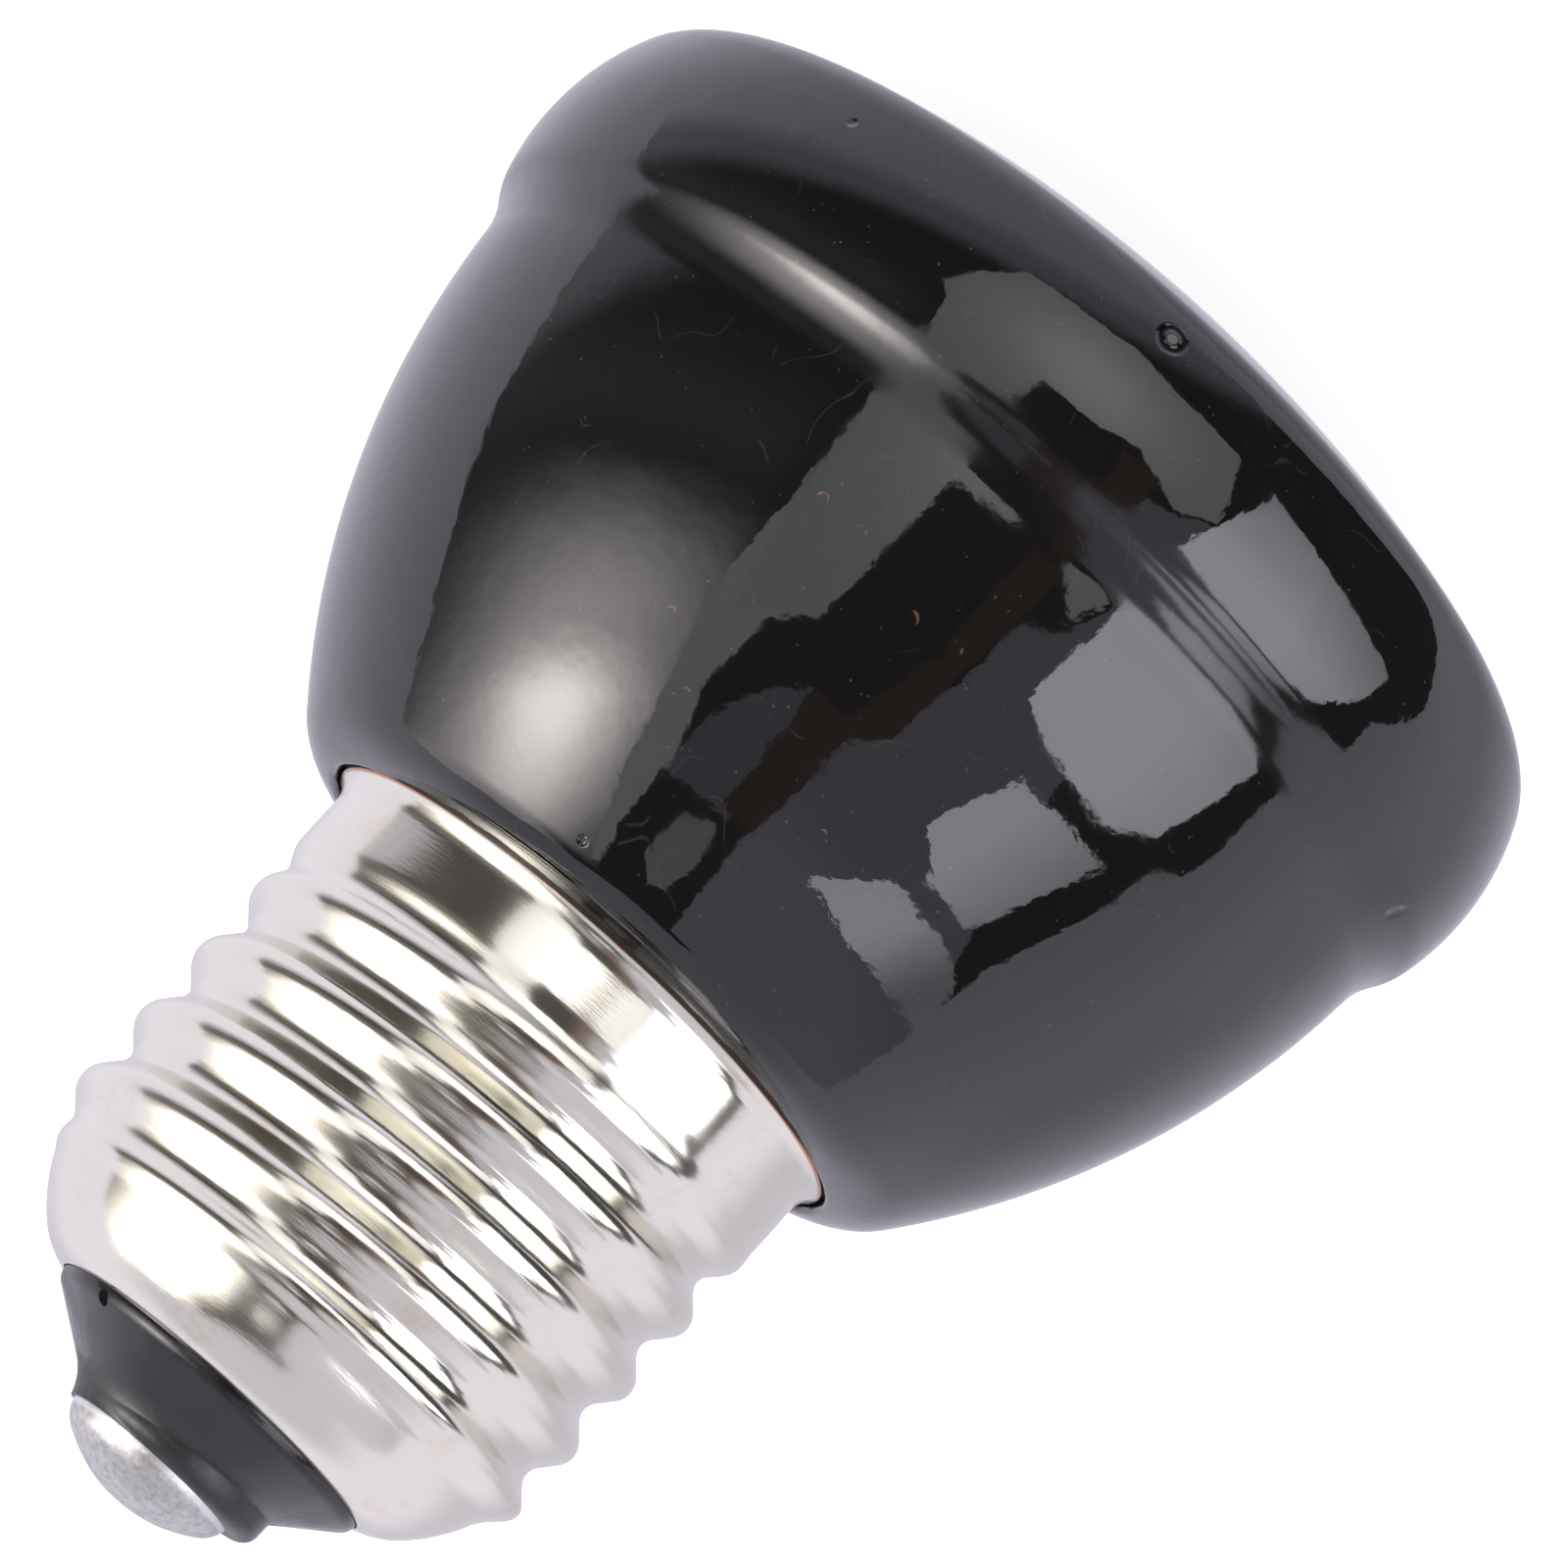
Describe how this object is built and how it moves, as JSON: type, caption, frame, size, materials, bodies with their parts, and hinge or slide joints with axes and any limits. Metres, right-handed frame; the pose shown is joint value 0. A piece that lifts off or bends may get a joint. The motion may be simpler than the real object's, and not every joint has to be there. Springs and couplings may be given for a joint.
{
  "type": "ceramic heat emitter",
  "caption": "Bell-shaped heat emitter of black glazed ceramic with an E27 screw cap, for a ceramic lamp holder.",
  "frame": {"origin": "centre of the small flat of the domed face, on the axis of revolution", "axes": "+Z along the axis of revolution, from the domed face to the tip contact of the screw cap; -X toward the side of the glass boss that sits off centre"},
  "size_m": [0.0526, 0.0526, 0.0666],
  "materials": {
    "black_glaze": "glossy black glaze, slightly rippled",
    "nickel_plate": "bright nickel plate",
    "black_glass": "opaque black glass",
    "brass_plate": "plain",
    "solder": "dull, grainy solder",
    "cement": "matt basing cement",
    "lead_wire": "nickel wire"
  },
  "bodies": {
    "root": {"ceramic_body": "black_glaze", "screw_shell": "nickel_plate", "base_insulator": "black_glass", "contact_plate": "brass_plate", "contact_solder": "solder", "neck_cement": "cement", "centre_lead": "lead_wire", "side_lead": "lead_wire"}
  },
  "joints": []
}
